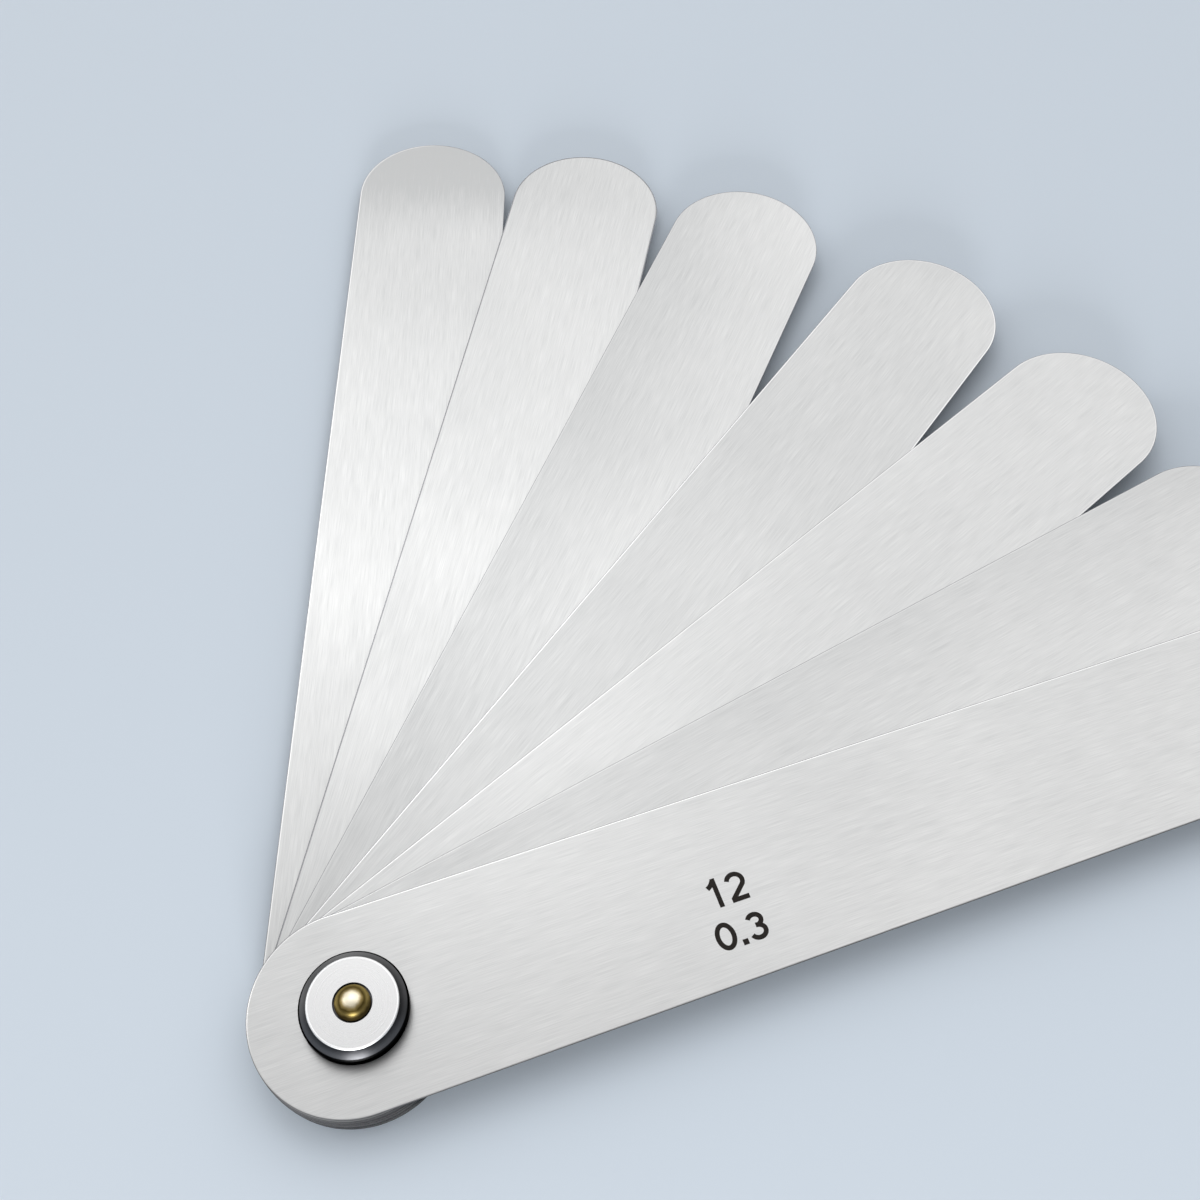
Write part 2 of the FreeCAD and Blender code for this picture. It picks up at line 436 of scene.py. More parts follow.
def rolledWasherSteel():
    # punched from cold rolled strip: even grey with a dull fine grain
    material, tree = newMaterial("cold rolled washer steel")
    place = addNode(tree, "ShaderNodeTexCoord")
    grain = addNode(tree, "ShaderNodeTexNoise", {
        "Scale": 1 / washers["grain"], "Detail": 3.0,
    }, {"Vector": place.outputs["Object"]})
    colour = addNode(tree, "ShaderNodeMix", {
        "data_type": "RGBA", 6: toLinear(washers["dark"]), 7: toLinear(washers["light"]),
    }, {0: grain.outputs["Fac"]})
    rough = addNode(tree, "ShaderNodeMapRange", {
        "To Min": washers["roughness"][0], "To Max": washers["roughness"][1],
    }, {"Value": grain.outputs["Fac"]})
    surface = addNode(tree, "ShaderNodeBsdfPrincipled", {"Metallic": 1.0}, {
        "Base Color": colour.outputs[2], "Roughness": rough.outputs["Result"],
    })
    addNode(tree, "ShaderNodeOutputMaterial", links={"Surface": surface.outputs["BSDF"]})
    return material


markInk = {
    "light": "#2b2622",
    "dark": "#171412",
    "roughness": (0.45, 0.65),
    "gloss": 0.15,
    "grain": 0.5 * mm,
}


def darkMarkingInk():
    # baked marking ink: matt warm black, a little uneven where the brushing shows through
    material, tree = newMaterial("baked marking ink")
    place = addNode(tree, "ShaderNodeTexCoord")
    shadeAndWear = addNode(tree, "ShaderNodeTexNoise", {
        "Scale": 1 / markInk["grain"], "Detail": 3.0,
    }, {"Vector": place.outputs["Object"]})
    colour = addNode(tree, "ShaderNodeMix", {
        "data_type": "RGBA", 6: toLinear(markInk["dark"]), 7: toLinear(markInk["light"]),
    }, {0: shadeAndWear.outputs["Fac"]})
    rough = addNode(tree, "ShaderNodeMapRange", {
        "To Min": markInk["roughness"][0], "To Max": markInk["roughness"][1],
    }, {"Value": shadeAndWear.outputs["Fac"]})
    surface = addNode(tree, "ShaderNodeBsdfPrincipled", {"Specular IOR Level": markInk["gloss"]}, {
        "Base Color": colour.outputs[2], "Roughness": rough.outputs["Result"],
    })
    addNode(tree, "ShaderNodeOutputMaterial", links={"Surface": surface.outputs["BSDF"]})
    return material


print("finishes ready")


# Leaves, one tree run seven times

def leafTree():
    tree, given = newTree("round ended leaf", {
        "Half width": ("NodeSocketFloat", 0.019),
        "Near centre": ("NodeSocketFloat", 0.0),
        "Tip centre": ("NodeSocketFloat", 0.2),
        "Thickness": ("NodeSocketFloat", 0.0003),
        "Edge break": ("NodeSocketFloat", 0.00025),
        "Edge depth": ("NodeSocketFloat", 0.0001),
        "Hole radius": ("NodeSocketFloat", 0.003),
        "Angle": ("NodeSocketFloat", 0.0),
        "Level": ("NodeSocketFloat", 0.0),
        "Finish": ("NodeSocketMaterial", None),
        "Shaded underside finish": ("NodeSocketMaterial", None),
    })
    out = given.outputs
    place = addNode(tree, "GeometryNodeInputPosition")
    across = addNode(tree, "ShaderNodeSeparateXYZ", links={"Vector": place.outputs["Position"]})
    ahead = addNode(tree, "FunctionNodeCompare", {
        "data_type": "FLOAT", "operation": "GREATER_THAN",
    }, {0: across.outputs["X"]})
    shift = addNode(tree, "GeometryNodeSwitch", {"input_type": "FLOAT"}, {
        "Switch": ahead.outputs["Result"], "False": out["Near centre"], "True": out["Tip centre"],
    })
    stretch = addNode(tree, "ShaderNodeCombineXYZ", links={"X": shift.outputs["Output"]})
    inner = addNode(tree, "ShaderNodeMath", {"operation": "SUBTRACT"}, {
        0: out["Half width"], 1: out["Edge break"],
    })

    def outline(radiusSocket):
        # a circle pulled apart in the middle, so its two halves become the leaf's ends
        circle = addNode(tree, "GeometryNodeCurvePrimitiveCircle", {
            "Resolution": leaves["endSteps"],
        }, {"Radius": radiusSocket})
        turned = addNode(tree, "GeometryNodeTransform", {
            "Rotation": (0, 0, math.pi / leaves["endSteps"]),
        }, {"Geometry": circle.outputs["Curve"]})
        return addNode(tree, "GeometryNodeSetPosition", links={
            "Geometry": turned.outputs["Geometry"], "Offset": stretch.outputs["Vector"],
        }).outputs["Geometry"]

    hole = addNode(tree, "GeometryNodeCurvePrimitiveCircle", {
        "Resolution": leaves["holeSteps"],
    }, {"Radius": out["Hole radius"]})

    def ring(path, profilePoints):
        # walls swept round a path, as mesh strips between the profile's points
        steps = []
        for low, high in zip(profilePoints, profilePoints[1:]):
            line = addNode(tree, "GeometryNodeCurvePrimitiveLine", links={"Start": high, "End": low})
            steps.append(addNode(tree, "GeometryNodeCurveToMesh", links={
                "Curve": path, "Profile Curve": line.outputs["Curve"],
            }).outputs["Mesh"])
        return steps

    upper = addNode(tree, "ShaderNodeMath", {"operation": "SUBTRACT"}, {0: out["Thickness"], 1: out["Edge depth"]})
    points = []
    for radial, height in (
        (out["Edge break"], None), (None, out["Edge depth"]), (None, upper.outputs["Value"]),
        (out["Edge break"], out["Thickness"]),
    ):
        point = addNode(tree, "ShaderNodeCombineXYZ")
        if radial is not None:
            tree.links.new(radial, point.inputs["X"])
        if height is not None:
            tree.links.new(height, point.inputs["Y"])
        # a profile's x runs outwards and its y downwards, so the points are turned round
        turnedRound = addNode(tree, "ShaderNodeVectorMath", {"operation": "SCALE", "Scale": -1.0}, {
            0: point.outputs["Vector"],
        })
        points.append(turnedRound.outputs["Vector"])
    above = addNode(tree, "ShaderNodeMath", {"operation": "MULTIPLY", 1: -1.0}, {0: out["Thickness"]})
    boreTop = addNode(tree, "ShaderNodeCombineXYZ", links={"Y": above.outputs["Value"]})
    boreFoot = addNode(tree, "ShaderNodeCombineXYZ")
    rim = ring(outline(out["Half width"]), points)
    bore = ring(hole.outputs["Curve"], [boreTop.outputs["Vector"], boreFoot.outputs["Vector"]])

    edges = addNode(tree, "GeometryNodeJoinGeometry")
    tree.links.new(outline(inner.outputs["Value"]), edges.inputs["Geometry"])
    tree.links.new(hole.outputs["Curve"], edges.inputs["Geometry"])
    faceBelow = addNode(tree, "GeometryNodeFillCurve", {"mode": "TRIANGLES"}, {"Curve": edges.outputs["Geometry"]})
    turnedOver = addNode(tree, "GeometryNodeFlipFaces", links={"Mesh": faceBelow.outputs["Mesh"]})
    lift = addNode(tree, "ShaderNodeCombineXYZ", links={"Z": out["Thickness"]})
    faceAbove = addNode(tree, "GeometryNodeTransform", links={
        "Geometry": faceBelow.outputs["Mesh"], "Translation": lift.outputs["Vector"],
    })
    flats = addNode(tree, "GeometryNodeJoinGeometry")
    for socket in (turnedOver.outputs["Mesh"], faceAbove.outputs["Geometry"]):
        tree.links.new(socket, flats.inputs["Geometry"])
    flatShaded = addNode(tree, "GeometryNodeSetShadeSmooth", {"Shade Smooth": False}, {
        "Geometry": flats.outputs["Geometry"],
    })
    whole = addNode(tree, "GeometryNodeJoinGeometry")
    for socket in (flatShaded.outputs["Geometry"], *rim, *bore):
        tree.links.new(socket, whole.inputs["Geometry"])
    closed = addNode(tree, "GeometryNodeMergeByDistance", {"Distance": leaves["seam"]}, {
        "Geometry": whole.outputs["Geometry"],
    })
    bend = addNode(tree, "GeometryNodeInputMeshEdgeAngle")
    sharp = addNode(tree, "FunctionNodeCompare", {
        "data_type": "FLOAT", "operation": "GREATER_THAN", 1: math.radians(leaves["sharpAngle"]),
    }, {0: bend.outputs["Unsigned Angle"]})
    creased = addNode(tree, "GeometryNodeSetShadeSmooth", {"domain": "EDGE", "Shade Smooth": False}, {
        "Geometry": closed.outputs["Geometry"], "Selection": sharp.outputs["Result"],
    })
    inMillimetres = addNode(tree, "ShaderNodeVectorMath", {"operation": "SCALE", "Scale": 1000.0}, {
        0: place.outputs["Position"],
    })
    mapped = addNode(tree, "GeometryNodeStoreNamedAttribute", {
        "data_type": "FLOAT2", "domain": "CORNER", "Name": "leafPlace",
    }, {"Geometry": creased.outputs["Geometry"], "Value": inMillimetres.outputs["Vector"]})
    turn = addNode(tree, "ShaderNodeCombineXYZ", links={"Z": out["Angle"]})
    raised = addNode(tree, "ShaderNodeCombineXYZ", links={"Z": out["Level"]})
    fanned = addNode(tree, "GeometryNodeTransform", links={
        "Geometry": mapped.outputs["Geometry"],
        "Translation": raised.outputs["Vector"], "Rotation": turn.outputs["Vector"],
    })
    real = addNode(tree, "GeometryNodeRealizeInstances", links={"Geometry": fanned.outputs["Geometry"]})
    finished = addNode(tree, "GeometryNodeSetMaterial", links={
        "Geometry": real.outputs["Geometry"], "Material": out["Finish"],
    })
    # faces looking down take the darker steel: painted shade between the leaves
    facing = addNode(tree, "GeometryNodeInputNormal")
    tilt = addNode(tree, "ShaderNodeSeparateXYZ", links={"Vector": facing.outputs["Normal"]})
    below = addNode(tree, "FunctionNodeCompare", {"data_type": "FLOAT", "operation": "LESS_THAN", 1: -0.5}, {
        0: tilt.outputs["Z"],
    })
    shadePainted = addNode(tree, "GeometryNodeSetMaterial", links={
        "Geometry": finished.outputs["Geometry"], "Selection": below.outputs["Result"],
        "Material": out["Shaded underside finish"],
    })
    addNode(tree, "NodeGroupOutput", links={"Geometry": shadePainted.outputs["Geometry"]})
    return tree


shapeOfLeaf = leafTree()
# a darker copy of the leaf steel for the undersides, painted shade
undersideShadeSteel = brushedSpringSteel("underside spring steel with painted shade", 8, steel["undersideShadeLight"], steel["undersideShadeDark"], undersideShadeSettings)
for number, (thousandths, angle) in enumerate(zip(leaves["thousandths"], leaves["angles"]), 1):
    node = "leaf_%d" % number
    thickness = thousandths * 0.0254 * mm
    halfWidth = leaves["width"] / 2
    shadeAndWear = {word: leaves[word][number - 1] for word in undersideShadeSettings}
    finish = brushedSpringSteel("brushed spring steel %d" % number, number, steel["light"], steel["dark"], shadeAndWear)
    piece = runTree("leafBlade%d" % number, shapeOfLeaf, {
        "Half width": halfWidth,
        "Near centre": halfWidth - leaves["inset"],
        "Tip centre": leaves["length"] - leaves["inset"] - halfWidth,
        "Thickness": thickness,
        "Edge break": leaves["edgeBreak"],
        "Edge depth": thickness * leaves["edgeShare"],
        "Hole radius": leaves["holeRadius"],
        "Angle": math.radians(angle),
        "Level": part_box(node)[0][2],
        "Finish": finish,
        "Shaded underside finish": undersideShadeSteel,
    })
    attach(piece, node)
    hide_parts(node)
    print("leaf", number, len(piece.data.polygons), "faces")


# Turned pieces: a profile swept round the pivot axis

frontDisc = {
    "baseRadius": 10.1, "faceRadius": 8.25, "height": 4.8,
    "bore": 3.0, "lowerChamfer": 0.35, "land": 2.28, "faceChamfer": 0.2, "rimBulge": 0.03,
    "footBulge": 0.02, "footRound": 0.12, "recessRadius": 3.65, "recessDepth": 1.1,
}
rearDisc = {
    "baseRadius": 10.1, "faceRadius": 8.25, "height": 2.5,
    "bore": 3.0, "lowerChamfer": 0.35, "land": 0.4, "faceChamfer": 0.2, "rimBulge": 0.03,
    "footBulge": 0.02, "footRound": 0.12,
    "tailRadius": 4.2, "tailRecess": 0.15, "tailDepth": 1.2,
}
pin = {
    "shank": 3.0, "headRadius": 3.3, "rimHeight": 1.0, "bevelWidth": 0.7, "bevelHeight": 0.35,
    "domeHeight": 1.1, "tailRadius": 4.2, "tailRecess": 0.15, "tailDepth": 1.2,
}
lathe = {
    "segments": 144,            # steps round the axis
    "cornerSteps": 4,
    "domeSteps": 16,
    "seam": 0.002 * mm,
    "sharpAngle": 24,
    "pathRadius": 5 * mm,       # of the circle that each profile is swept along
}


def latheTree():
    tree, given = newTree("turned about the pivot", {
        "Path radius": ("NodeSocketFloat", 0.005),
        "Segments": ("NodeSocketInt", lathe["segments"]),
        "Bright above": ("NodeSocketFloat", 1.0),
        "Bright below": ("NodeSocketFloat", -1.0),
        "Body finish": ("NodeSocketMaterial", None),
        "Face finish": ("NodeSocketMaterial", None),
    })
    out = given.outputs
    path = addNode(tree, "GeometryNodeCurvePrimitiveCircle", links={
        "Resolution": out["Segments"], "Radius": out["Path radius"],
    })
    swept = addNode(tree, "GeometryNodeCurveToMesh", links={
        "Curve": path.outputs["Curve"], "Profile Curve": out["Geometry"],
    })
    closed = addNode(tree, "GeometryNodeMergeByDistance", {"Distance": lathe["seam"]}, {
        "Geometry": swept.outputs["Mesh"],
    })
    smooth = addNode(tree, "GeometryNodeSetShadeSmooth", {"Shade Smooth": True}, {
        "Geometry": closed.outputs["Geometry"],
    })
    bend = addNode(tree, "GeometryNodeInputMeshEdgeAngle")
    sharp = addNode(tree, "FunctionNodeCompare", {
        "data_type": "FLOAT", "operation": "GREATER_THAN", 1: math.radians(lathe["sharpAngle"]),
    }, {0: bend.outputs["Unsigned Angle"]})
    creased = addNode(tree, "GeometryNodeSetShadeSmooth", {"domain": "EDGE", "Shade Smooth": False}, {
        "Geometry": smooth.outputs["Geometry"], "Selection": sharp.outputs["Result"],
    })
    place = addNode(tree, "GeometryNodeInputPosition")
    height = addNode(tree, "ShaderNodeSeparateXYZ", links={"Vector": place.outputs["Position"]})
    over = addNode(tree, "FunctionNodeCompare", {"data_type": "FLOAT", "operation": "GREATER_THAN"}, {
        0: height.outputs["Z"], 1: out["Bright above"],
    })
    under = addNode(tree, "FunctionNodeCompare", {"data_type": "FLOAT", "operation": "LESS_THAN"}, {
        0: height.outputs["Z"], 1: out["Bright below"],
    })
    bright = addNode(tree, "FunctionNodeBooleanMath", {"operation": "OR"}, {
        0: over.outputs["Result"], 1: under.outputs["Result"],
    })
    real = addNode(tree, "GeometryNodeRealizeInstances", links={"Geometry": creased.outputs["Geometry"]})
    body = addNode(tree, "GeometryNodeSetMaterial", links={
        "Geometry": real.outputs["Geometry"], "Material": out["Body finish"],
    })
    faced = addNode(tree, "GeometryNodeSetMaterial", links={
        "Geometry": body.outputs["Geometry"], "Selection": bright.outputs["Boolean"],
        "Material": out["Face finish"],
    })
    addNode(tree, "NodeGroupOutput", links={"Geometry": faced.outputs["Geometry"]})
    return tree


def arcPoints(start, end, bulge):
    # points from start to end on an arc that bows out by the bulge
    chord = math.dist(start, end)
    radius = chord ** 2 / (8 * bulge) + bulge / 2
    away = ((end[1] - start[1]) / chord, (start[0] - end[0]) / chord)
    middle = ((start[0] + end[0]) / 2, (start[1] + end[1]) / 2)
    centre = (middle[0] - away[0] * (radius - bulge), middle[1] - away[1] * (radius - bulge))
    first = math.atan2(start[1] - centre[1], start[0] - centre[0])
    last = math.atan2(end[1] - centre[1], end[0] - centre[0])
    count = lathe["cornerSteps"]
    steps = [first + (last - first) * i / count for i in range(count + 1)]
    return [(centre[0] + radius * math.cos(a), centre[1] + radius * math.sin(a)) for a in steps]


def turnedProfile(name, points, level, cyclic):
    # points are (radius, height) in mm; a profile's x runs outwards and its y downwards, and
    # taken in reverse order its faces look outwards
    curve = bpy.data.curves.new(name + "Profile", "CURVE")
    curve.dimensions = "3D"
    spline = curve.splines.new("POLY")
    spline.points.add(len(points) - 1)
    for point, (radius, height) in zip(spline.points, reversed(points)):
        point.co = (radius * mm - lathe["pathRadius"], -(height * mm + level), 0, 1)
    spline.use_cyclic_u = cyclic
    return curve


def discOutline(disc):
    # the wide side at height 0, the flat face at the top; both corners of the flank a little rounded
    landTop = disc["lowerChamfer"] + disc["land"]
    flankTop = (disc["faceRadius"] + disc["faceChamfer"], disc["height"] - disc["faceChamfer"])
    run, rise = disc["baseRadius"] - flankTop[0], flankTop[1] - landTop
    share = disc["footRound"] / math.hypot(run, rise)
    flankFoot = (disc["baseRadius"] - run * share, landTop + rise * share)
    points = [(disc["baseRadius"] - disc["lowerChamfer"], 0), (disc["baseRadius"], disc["lowerChamfer"])]
    points += arcPoints((disc["baseRadius"], landTop - disc["footRound"]), flankFoot, disc["footBulge"])
    points += arcPoints(flankTop, (disc["faceRadius"], disc["height"]), disc["rimBulge"])
    return points


turned = latheTree()
bodySteel = darkPaintedPolishedSteel()
faceSteel = turnedSteelFace()
brass = polishedBrass()

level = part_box("front_disc")[0][2]
frontPoints = [(frontDisc["bore"], 0)] + discOutline(frontDisc) + [
    (frontDisc["recessRadius"], frontDisc["height"]),
    (frontDisc["recessRadius"], frontDisc["height"] - frontDisc["recessDepth"]),
    (frontDisc["bore"], frontDisc["height"] - frontDisc["recessDepth"]),
]
piece = runTree("frontPivotDisc", turned, {
    "Path radius": lathe["pathRadius"], "Segments": lathe["segments"],
    "Bright above": level + (frontDisc["height"] - frontDisc["faceChamfer"]) * mm, "Bright below": -1.0,
    "Body finish": bodySteel, "Face finish": faceSteel,
}, turnedProfile("frontPivotDisc", frontPoints, level, True))
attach(piece, "pivot")
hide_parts("front_disc")

rearPoints = [(radius, rearDisc["height"] - height) for radius, height in reversed(discOutline(rearDisc))]
rearPoints += [
    (rearDisc["bore"], rearDisc["height"]),
    (rearDisc["bore"], rearDisc["tailRecess"] + rearDisc["tailDepth"]),
    (rearDisc["tailRadius"], rearDisc["tailRecess"]),
    (rearDisc["tailRadius"], 0),
]
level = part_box("rear_disc")[0][2]
piece = runTree("rearPivotDisc", turned, {
    "Path radius": lathe["pathRadius"], "Segments": lathe["segments"],
    "Bright above": 1.0, "Bright below": level + rearDisc["faceChamfer"] * mm,
    "Body finish": bodySteel, "Face finish": faceSteel,
}, turnedProfile("rearPivotDisc", rearPoints, level, True))
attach(piece, "pivot")
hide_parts("rear_disc")

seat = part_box("front_disc")[1][2] / mm - frontDisc["recessDepth"]
domeFoot = seat + pin["rimHeight"] + pin["bevelHeight"]
domeRadius = pin["headRadius"] - pin["bevelWidth"]
domeBulge = (domeRadius ** 2 + pin["domeHeight"] ** 2) / (2 * pin["domeHeight"])
domeCentre = domeFoot + pin["domeHeight"] - domeBulge
domeSpan = math.asin(domeRadius / domeBulge)
pinPoints = [
    (0, pin["tailRecess"]), (pin["tailRadius"], pin["tailRecess"]),
    (pin["shank"], pin["tailRecess"] + pin["tailDepth"]), (pin["shank"], seat),
    (pin["headRadius"], seat), (pin["headRadius"], seat + pin["rimHeight"]),
]
for step in range(lathe["domeSteps"] + 1):
    tilt = domeSpan * (lathe["domeSteps"] - step) / lathe["domeSteps"]
    pinPoints.append((domeBulge * math.sin(tilt), domeCentre + domeBulge * math.cos(tilt)))
piece = runTree("rivetPin", turned, {
    "Path radius": lathe["pathRadius"], "Segments": lathe["segments"], "Bright above": 1.0, "Bright below": -1.0,
    "Body finish": brass, "Face finish": brass,
}, turnedProfile("rivetPin", pinPoints, 0.0, False))
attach(piece, "pivot")
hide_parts("pivot_pin")
print("discs and pin turned")


# Washers keep their own solids and get their finish

washerSteel = rolledWasherSteel()
for name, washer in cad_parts.items():
    if name.startswith("spacer") or name.endswith("washer"):
        washer.data.materials.clear()
        washer.data.materials.append(washerSteel)


# Thickness marks, one tree run for each leaf

marks = {
    "upper": ("4", "5", "6", "7", "8", "10", "12"),
    "lower": ("0.1", "0.13", "0.15", "0.18", "0.2", "0.25", "0.3"),
    "pen": 0.96,
    "width": 4.1,
    "height": 5.55,
    "advance": 4.75,
    "dotAdvance": 1.7,
    "upperScale": 1.07,         # the upper line is written a little larger
    "fromPivot": 73.1,
    "upperLine": -4.15,
    "lowerLine": -12.5,
    "depth": 0.012,
    "sunk": 0.004,
    "strokeStep": 0.0005,       # each stroke a hair higher, so that no two faces lie in one plane
}


def oval(x, y, wide, high, start, end):
    # points on an oval arc between two angles in degrees
    steps = max(3, round(abs(end - start) / 10))
    turns = [math.radians(start + (end - start) * i / steps) for i in range(steps + 1)]
    return [(x + wide * math.cos(a), y + high * math.sin(a)) for a in turns]


# the pen strokes of each digit, in a box of width 1 and height 1
digits = {
    "0": [oval(0.5, 0.5, 0.5, 0.5, 0, 350)],
    "1": [[(0.78, -0.1), (0.78, 1.1)], [(0.8, 1.05), (0.64, 0.9), (0.5, 0.81), (0.33, 0.75)]],
    "2": [oval(0.49, 0.71, 0.46, 0.29, 165, -35) + [(0.05, 0.03)], [(-0.05, 0), (1, 0)]],
    "3": [oval(0.48, 0.76, 0.42, 0.24, 160, -80), oval(0.47, 0.27, 0.47, 0.27, 95, -160)],
    "4": [[(0.72, -0.1), (0.72, 1.1)], [(0.72, 1.0), (0.03, 0.28)], [(-0.05, 0.26), (1, 0.26)]],
    "5": [[(0.13, 1), (0.93, 1)], [(0.15, 1), (0.07, 0.47)], oval(0.46, 0.32, 0.49, 0.32, 145, -155)],
    "6": [oval(0.49, 0.3, 0.49, 0.3, 0, 350), oval(0.54, 0.5, 0.54, 0.5, 50, 200)],
    "7": [[(0, 1), (1.05, 1)], [(0.97, 0.97), (0.55, 0.45), (0.34, -0.1)]],
    "8": [oval(0.49, 0.76, 0.41, 0.24, 0, 350), oval(0.49, 0.27, 0.49, 0.27, 0, 350)],
    ".": [[(-0.15, 0), (0.21, 0)], [(-0.15, 0.04), (0.21, 0.04)]],
}


def writtenLine(curve, text, base, level, scale):
    advances = [scale * marks["dotAdvance" if sign == "." else "advance"] for sign in text]
    gap = scale * (marks["advance"] - marks["width"])
    left = marks["fromPivot"] - (sum(advances) - gap) / 2
    for sign, advance in zip(text, advances):
        for stroke in digits[sign]:
            spline = curve.splines.new("POLY")
            spline.points.add(len(stroke) - 1)
            height = level + (len(curve.splines) % 3) * marks["strokeStep"]
            for point, (x, y) in zip(spline.points, stroke):
                across = left + marks["pen"] / 2 + x * (scale * marks["width"] - marks["pen"])
                up = base + marks["pen"] / 2 + y * (scale * marks["height"] - marks["pen"])
                point.co = (across * mm, up * mm, height * mm, 1)
            spline.use_cyclic_u = sign in "068" and math.dist(stroke[0], stroke[-1]) < 0.2
        left += advance


def markTree():
    tree, given = newTree("thickness marks", {
        "Pen width": ("NodeSocketFloat", 0.0008),
        "Depth": ("NodeSocketFloat", 0.00001),
        "Angle": ("NodeSocketFloat", 0.0),
        "Ink": ("NodeSocketMaterial", None),
    })
    out = given.outputs
    level = addNode(tree, "GeometryNodeSetCurveNormal", {"mode": "Z_UP"}, {"Curve": out["Geometry"]})
    nib = addNode(tree, "GeometryNodeCurvePrimitiveQuadrilateral", links={
        "Width": out["Pen width"], "Height": out["Depth"],
    })
    inked = addNode(tree, "GeometryNodeCurveToMesh", {"Fill Caps": True}, {
        "Curve": level.outputs["Curve"], "Profile Curve": nib.outputs["Curve"],
    })
    flat = addNode(tree, "GeometryNodeSetShadeSmooth", {"Shade Smooth": False}, {
        "Geometry": inked.outputs["Mesh"],
    })
    turn = addNode(tree, "ShaderNodeCombineXYZ", links={"Z": out["Angle"]})
    placed = addNode(tree, "GeometryNodeTransform", links={
        "Geometry": flat.outputs["Geometry"], "Rotation": turn.outputs["Vector"],
    })
    whole = addNode(tree, "GeometryNodeRealizeInstances", links={"Geometry": placed.outputs["Geometry"]})
    dyed = addNode(tree, "GeometryNodeSetMaterial", links={
        "Geometry": whole.outputs["Geometry"], "Material": out["Ink"],
    })
    addNode(tree, "NodeGroupOutput", links={"Geometry": dyed.outputs["Geometry"]})
    return tree


shapeOfMarks = markTree()
ink = darkMarkingInk()
for number, (upper, lower, angle) in enumerate(zip(marks["upper"], marks["lower"], leaves["angles"]), 1):
    node = "leaf_%d" % number
    strokes = bpy.data.curves.new("leafMarks%dStrokes" % number, "CURVE")
    strokes.dimensions = "3D"
    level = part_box(node)[1][2] / mm + marks["depth"] / 2 - marks["sunk"]
    writtenLine(strokes, upper, marks["upperLine"], level, marks["upperScale"])
    writtenLine(strokes, lower, marks["lowerLine"], level, 1.0)
    piece = runTree("leafMarks%d" % number, shapeOfMarks, {
        "Pen width": marks["pen"] * mm, "Depth": marks["depth"] * mm,
        "Angle": math.radians(angle), "Ink": ink,
    }, strokes)
    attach(piece, node)
print("marks placed")


# Floor, light and camera

studio = {
    "floorColour": "#d2dce6",
    "floorSize": 12.0,
    "skyColour": "#f6f6f7",
    "frontColour": "#a5a6a8",   # the room on the camera's side, where no lamp stands
    "skyStrength": 0.86,
    "skyTurn": (-0.2, 0.2),     # where the front colour gives way to the sky's, as a direction's Y
    "paperGrains": 900.0,       # in a metre
    "paperRelief": 0.05 * mm,
}
# each lamp's place, the point that it faces, its width and height in metres, its watts and its colour
softboxes = {
    "ceilingPanel": ((0.55, 0.82, 1.25), (0.08, 0.08, 0), 2.2, 1.4, 5.6, "#ffffff"),
    "rimStrip": ((0.3, 1.5, 0.8), (0.08, 0.08, 0), 2.0, 0.3, 0.25, "#ffffff"),
    "keySoftbox": ((0.03, 0.7, 0.9), (0.04, 0.12, 0), 0.36, 0.3, 0.36, "#ffffff"),
    "pivotSoftbox": ((-0.02, 0.54, 0.95), (0, 0, 0), 0.9, 0.7, 0.2, "#ffffff"),
    "sideSoftbox": ((-1.0, 0.8, 0.8), (0.05, 0.08, 0), 0.6, 0.6, 1.3, "#fffdf8"),
    "lowSoftbox": ((-0.25, -0.87, 0.18), (0, 0, 0.01), 0.38, 0.26, 9.5, "#ffffff"),
}
# fitted to the leaves' outlines
photoView = {
    "sensor": 36,
    "lens": 42.19,
    "place": (11.74 * mm, -74.72 * mm, 271.03 * mm),
    "forward": (0.19844, 0.46796, -0.86118),
    "above": (0.27576, 0.8165, 0.50723),
}


def paleFloor():
    # matt pale paper, with a faint grain
    material, tree = newMaterial("pale matt paper")
    place = addNode(tree, "ShaderNodeTexCoord")
    grain = addNode(tree, "ShaderNodeTexNoise", {"Scale": studio["paperGrains"], "Detail": 2.0}, {
        "Vector": place.outputs["Object"],
    })
    relief = addNode(tree, "ShaderNodeBump", {"Strength": 0.15, "Distance": studio["paperRelief"]}, {
        "Height": grain.outputs["Fac"],
    })
    surface = addNode(tree, "ShaderNodeBsdfPrincipled", {
        "Base Color": toLinear(studio["floorColour"]), "Roughness": 0.75, "Specular IOR Level": 0.25,
    }, {"Normal": relief.outputs["Normal"]})
    addNode(tree, "ShaderNodeOutputMaterial", links={"Surface": surface.outputs["BSDF"]})
    return material


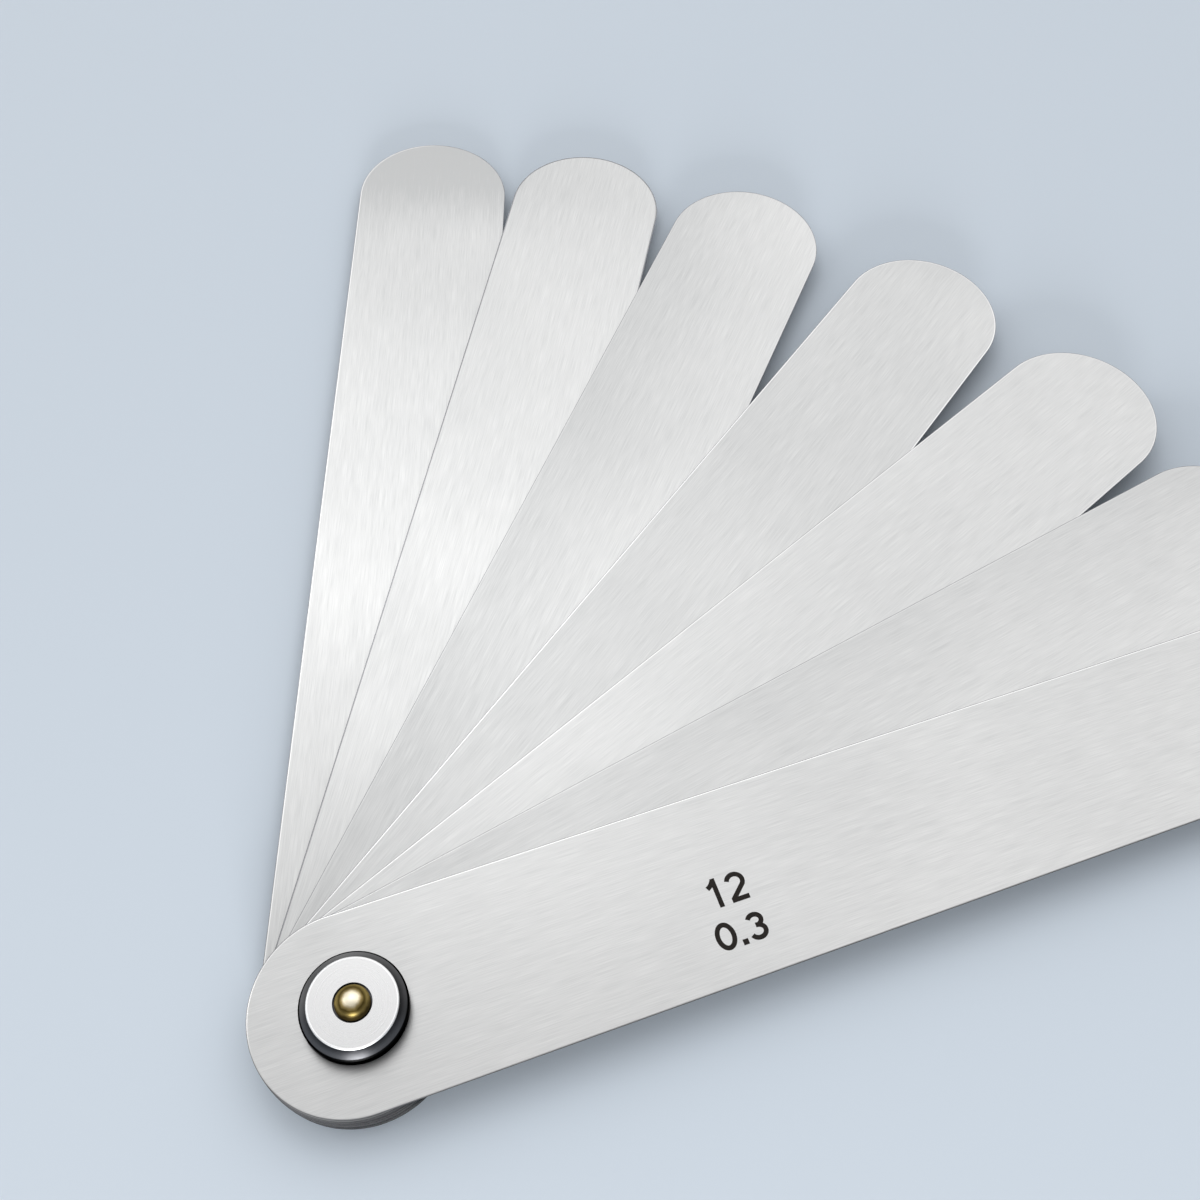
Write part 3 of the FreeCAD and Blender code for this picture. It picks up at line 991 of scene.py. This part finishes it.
half = studio["floorSize"] / 2
floorMesh = bpy.data.meshes.new("floor")
floorMesh.from_pydata([(-half, -half, 0), (half, -half, 0), (half, half, 0), (-half, half, 0)], [], [(0, 1, 2, 3)])
floorMesh.materials.append(paleFloor())
floor = bpy.data.objects.new("floor", floorMesh)
bpy.context.scene.collection.objects.link(floor)

world = bpy.data.worlds.new("soft studio")
world.use_nodes = True
world.node_tree.nodes.clear()
direction = addNode(world.node_tree, "ShaderNodeTexCoord")
towards = addNode(world.node_tree, "ShaderNodeSeparateXYZ", links={"Vector": direction.outputs["Generated"]})
behind = addNode(world.node_tree, "ShaderNodeMapRange", {
    "interpolation_type": "SMOOTHSTEP", "From Min": studio["skyTurn"][0], "From Max": studio["skyTurn"][1],
}, {"Value": towards.outputs["Y"]})
tint = addNode(world.node_tree, "ShaderNodeMix", {
    "data_type": "RGBA", 6: toLinear(studio["frontColour"]), 7: toLinear(studio["skyColour"]),
}, {0: behind.outputs["Result"]})
sky = addNode(world.node_tree, "ShaderNodeBackground", {"Strength": studio["skyStrength"]}, {
    "Color": tint.outputs[2],
})
addNode(world.node_tree, "ShaderNodeOutputWorld", links={"Surface": sky.outputs["Background"]})
bpy.context.scene.world = world


for name, (place, target, width, height, power, colour) in softboxes.items():
    lamp = bpy.data.lights.new(name, "AREA")
    lamp.shape = "RECTANGLE"
    lamp.size = width
    lamp.size_y = height
    lamp.energy = power
    lamp.color = toLinear(colour)[:3]
    holder = bpy.data.objects.new(name, lamp)
    holder.location = place
    holder.rotation_euler = (Vector(target) - Vector(place)).to_track_quat("-Z", "Y").to_euler()
    bpy.context.scene.collection.objects.link(holder)

camera = bpy.data.cameras.new("photoCamera")
camera.sensor_width = photoView["sensor"]
camera.lens = photoView["lens"]
camera.clip_start = 0.01
cameraHolder = bpy.data.objects.new("photoCamera", camera)
forward = Vector(photoView["forward"]).normalized()
rightward = forward.cross(Vector(photoView["above"])).normalized()
axes = Matrix((rightward, rightward.cross(forward), -forward)).transposed()
cameraHolder.matrix_world = Matrix.Translation(photoView["place"]) @ axes.to_4x4()
bpy.context.scene.collection.objects.link(cameraHolder)
bpy.context.scene.camera = cameraHolder
bpy.context.scene.view_settings.view_transform = "Standard"
print("studio set")
